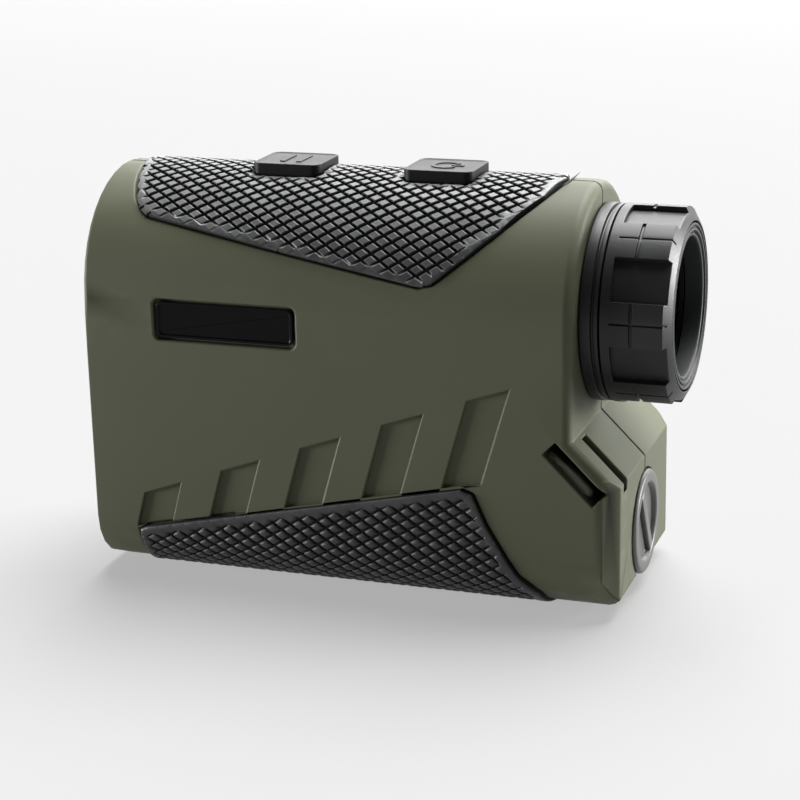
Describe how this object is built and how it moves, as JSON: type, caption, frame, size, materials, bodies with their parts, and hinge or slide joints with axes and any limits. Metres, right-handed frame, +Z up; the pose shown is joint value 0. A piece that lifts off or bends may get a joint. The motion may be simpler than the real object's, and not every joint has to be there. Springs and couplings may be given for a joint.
{
  "type": "laser rangefinder",
  "caption": "Pocket monocular laser rangefinder: two-shell olive body with rubber grips, two top buttons, focusing eyepiece, screw battery cap and lanyard bar.",
  "frame": {"origin": "middle of the footprint, on the surface the grip stands on", "axes": "+X along the viewing axis towards the eyepiece, +Z up, so -Y is the side with the lanyard slot"},
  "size_m": [0.104, 0.0428, 0.0736],
  "materials": {
    "shell": "soft-touch painted",
    "grip_rubber": "moulded diamond texture",
    "key_rubber": "satin",
    "plaque": "gloss black",
    "black_plastic": "matte",
    "ring_plastic": "satin moulded",
    "coated_glass": "multi-coated",
    "steel": "satin",
    "brass": "plain",
    "circuit_board": "solder mask",
    "chip_plastic": "matte",
    "cap_plastic": "silver-grey paint",
    "battery_wrap": "plain sleeve"
  },
  "bodies": {
    "housing": {"battery": "battery_wrap", "battery_sleeve": "chip_plastic", "battery_spring": "steel", "board_connector": "chip_plastic", "board_screw_1": "steel", "board_screw_2": "steel", "case_screw_1": "steel", "case_screw_2": "steel", "case_screw_3": "steel", "display": "coated_glass", "display_frame": "black_plastic", "display_ribbon": "brass", "emitter_lens": "coated_glass", "emitter_retainer": "black_plastic", "emitter_tube": "black_plastic", "eyepiece_barrel": "black_plastic", "front_bezel": "black_plastic", "half_penta_prism": "coated_glass", "key_board": "circuit_board", "laser_board": "circuit_board", "laser_diode": "steel", "left_badge": "plaque", "left_shell": "shell", "lower_grip": "grip_rubber", "main_board": "circuit_board", "mode_switch": "chip_plastic", "objective_cell": "black_plastic", "objective_lens": "coated_glass", "objective_retainer": "black_plastic", "power_switch": "chip_plastic", "prism_clip": "steel", "prism_holder": "steel", "processor_chip": "chip_plastic", "receiver_board": "circuit_board", "receiver_diode": "steel", "right_badge": "plaque", "right_shell": "shell", "roof_prism": "coated_glass", "shield_can": "steel", "top_grip": "grip_rubber"},
    "mode_key": {"mode_button": "key_rubber"},
    "power_key": {"power_button": "key_rubber"},
    "focus_ring": {"dioptre_ring": "ring_plastic", "eyecup": "grip_rubber"},
    "lens_carrier": {"lens_cell": "black_plastic", "field_lens": "coated_glass", "eye_lens": "coated_glass", "cell_retainer": "black_plastic", "cam_pin": "steel"},
    "contact_carrier": {"cap_contact": "brass"},
    "screw_cap": {"battery_cap": "cap_plastic", "cap_seal": "grip_rubber"}
  },
  "joints": [
    {"name": "mode_press", "type": "slide", "parent": "housing", "child": "mode_key", "axis": [0, 0, -1], "range_m": [0, 0.0008], "stiffness_N_per_m": 1500},
    {"name": "power_press", "type": "slide", "parent": "housing", "child": "power_key", "axis": [0, 0, -1], "range_m": [0, 0.0008], "stiffness_N_per_m": 1500},
    {"name": "dioptre_turn", "type": "hinge", "parent": "housing", "child": "focus_ring", "pos_m": [0.046, 0, 0.0512], "axis": [1, 0, 0], "range_deg": [-120, 120]},
    {"name": "lens_focus", "type": "slide", "parent": "housing", "child": "lens_carrier", "axis": [1, 0, 0], "range_m": [-0.0013, 0.0013]},
    {"name": "cap_travel", "type": "slide", "parent": "housing", "child": "contact_carrier", "axis": [1, 0, 0], "range_m": [0, 0.0045]},
    {"name": "cap_turn", "type": "hinge", "parent": "contact_carrier", "child": "screw_cap", "pos_m": [0.0445, 0, 0.0118], "axis": [1, 0, 0], "range_deg": [0, 1080]}
  ],
  "couplings": [
    {"joint": "lens_focus", "follows": "dioptre_turn", "m_per_rad": 0.00062},
    {"joint": "cap_turn", "follows": "cap_travel", "rad_per_m": 4188.8}
  ]
}
